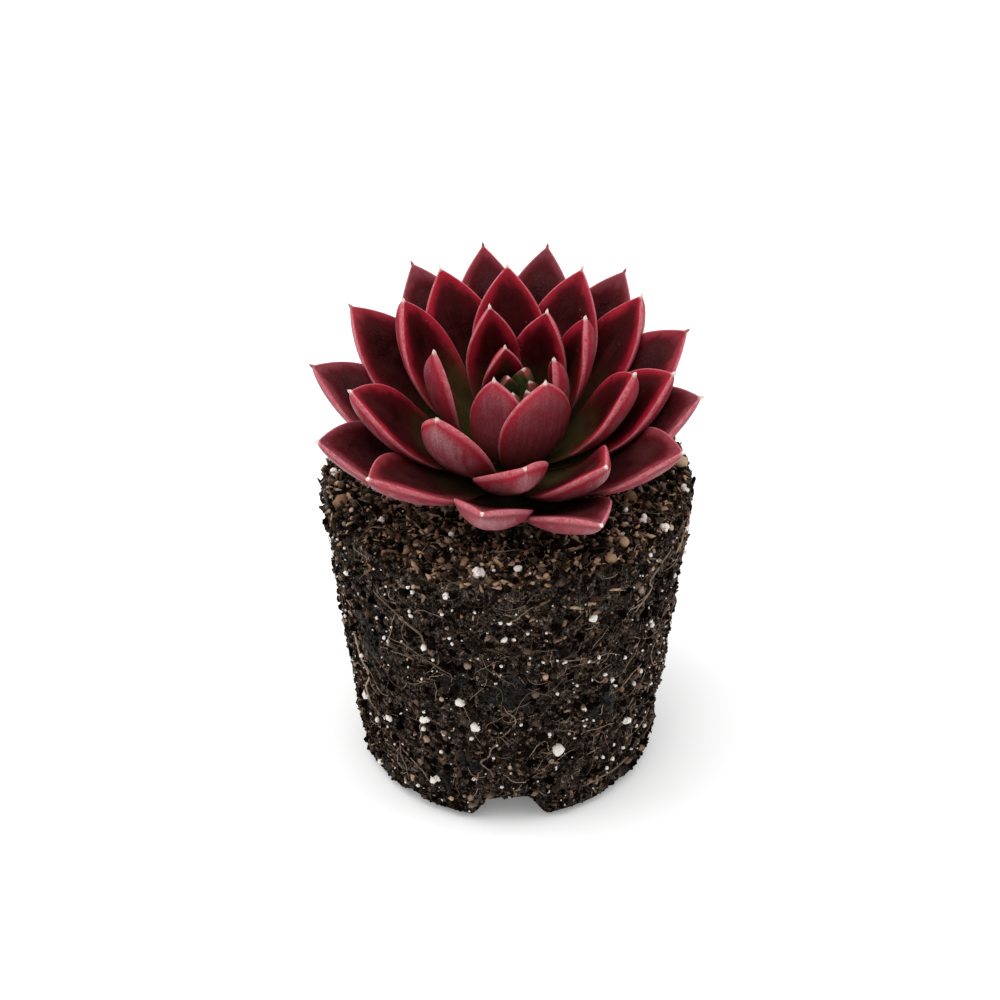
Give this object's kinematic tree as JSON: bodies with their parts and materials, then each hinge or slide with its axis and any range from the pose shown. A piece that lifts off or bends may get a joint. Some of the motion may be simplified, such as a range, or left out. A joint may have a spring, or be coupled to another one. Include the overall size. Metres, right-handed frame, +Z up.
{
  "type": "echeveria with bare root ball",
  "caption": "Low dark-red succulent rosette of pointed fleshy leaves, growing from a bare tapered plug of dark potting mix with no pot.",
  "frame": {"origin": "middle of the plug's flat underside, on the surface that the plant stands on", "axes": "+Z up along the plug's axis; the reference picture was taken from the -Y side, with +X to its right, and the rosette leans a few degrees towards -Y"},
  "size_m": [0.1004, 0.1031, 0.134],
  "materials": {
    "potting_mix": "matte",
    "stem_skin": "matte",
    "leaf_flesh": "satin",
    "bud_flesh": "satin"
  },
  "bodies": {
    "root": {"root_ball": "potting_mix", "stem": "stem_skin", "leaf_01": "leaf_flesh", "leaf_02": "leaf_flesh", "leaf_03": "leaf_flesh", "leaf_04": "leaf_flesh", "leaf_05": "leaf_flesh", "leaf_06": "leaf_flesh", "leaf_07": "leaf_flesh", "leaf_08": "leaf_flesh", "leaf_09": "leaf_flesh", "leaf_10": "leaf_flesh", "leaf_11": "leaf_flesh", "leaf_12": "leaf_flesh", "leaf_13": "leaf_flesh", "leaf_14": "leaf_flesh", "leaf_15": "leaf_flesh", "leaf_16": "leaf_flesh", "leaf_17": "leaf_flesh", "leaf_18": "leaf_flesh", "leaf_19": "leaf_flesh", "leaf_20": "leaf_flesh", "leaf_21": "leaf_flesh", "leaf_22": "leaf_flesh", "leaf_23": "leaf_flesh", "leaf_24": "leaf_flesh", "leaf_25": "leaf_flesh", "leaf_26": "leaf_flesh", "leaf_27": "leaf_flesh", "leaf_28": "leaf_flesh", "leaf_29": "leaf_flesh", "leaf_30": "leaf_flesh", "leaf_31": "leaf_flesh", "leaf_32": "leaf_flesh", "centre_bud": "bud_flesh"}
  },
  "joints": []
}
